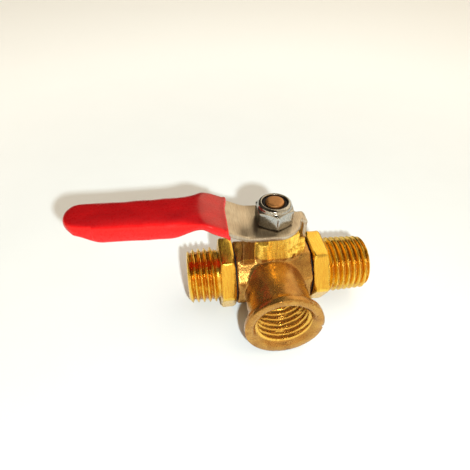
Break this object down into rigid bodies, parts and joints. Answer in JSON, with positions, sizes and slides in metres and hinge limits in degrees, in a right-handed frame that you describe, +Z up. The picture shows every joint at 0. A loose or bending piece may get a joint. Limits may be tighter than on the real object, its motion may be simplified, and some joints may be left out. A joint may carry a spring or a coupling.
{
  "type": "three way ball valve",
  "caption": "Small brass three way ball valve: male threaded run ends, female threaded branch in front, and a flat steel lever with a red vinyl grip.",
  "frame": {"origin": "centre of the flat underside of the body, straight below the stem axis; the centre of the ball is 7.5 mm above it", "axes": "+X along the run towards the longer male end, -Y out of the female branch, +Z up the stem"},
  "size_m": [0.0685, 0.027, 0.0302],
  "materials": {
    "brass_forged": "satin forged brass, tarnished towards orange brown near the boss",
    "brass_machined": "bright turned brass",
    "stem_brass": "turned brass, dulled to copper orange at the tip",
    "chromed_ball": "polished chrome",
    "ptfe": "smooth white PTFE",
    "nitrile": "black nitrile rubber",
    "lever_steel": "beige grey steel with a fine grain across the strip",
    "grip_vinyl": "glossy red dipped vinyl",
    "nut_zinc": "bright zinc plate",
    "nut_nylon": "dark nylon"
  },
  "bodies": {
    "valve": {"valve_body": "brass_forged", "left_end_connector": "brass_machined", "right_end_connector": "brass_machined", "left_body_seal": "nitrile", "right_body_seal": "nitrile", "left_ball_seat": "ptfe", "right_ball_seat": "ptfe", "stem_thrust_washer": "ptfe"},
    "handle": {"stem": "stem_brass", "stem_o_ring_lower": "nitrile", "stem_o_ring_upper": "nitrile", "lever_plate": "lever_steel", "lever_grip_sleeve": "grip_vinyl", "lock_nut": "nut_zinc", "nut_nylon_insert": "nut_nylon"},
    "flow_ball": {"ball": "chromed_ball"}
  },
  "joints": [
    {"name": "lever_turn", "type": "hinge", "parent": "valve", "child": "handle", "pos_m": [0, 0, 0.0075], "axis": [0, 0, 1], "range_deg": [0, 180]},
    {"name": "ball_turn", "type": "hinge", "parent": "valve", "child": "flow_ball", "pos_m": [0, 0, 0.0075], "axis": [0, 0, 1], "range_deg": [0, 180]}
  ],
  "couplings": [
    {"joint": "ball_turn", "follows": "lever_turn", "ratio": 1}
  ]
}
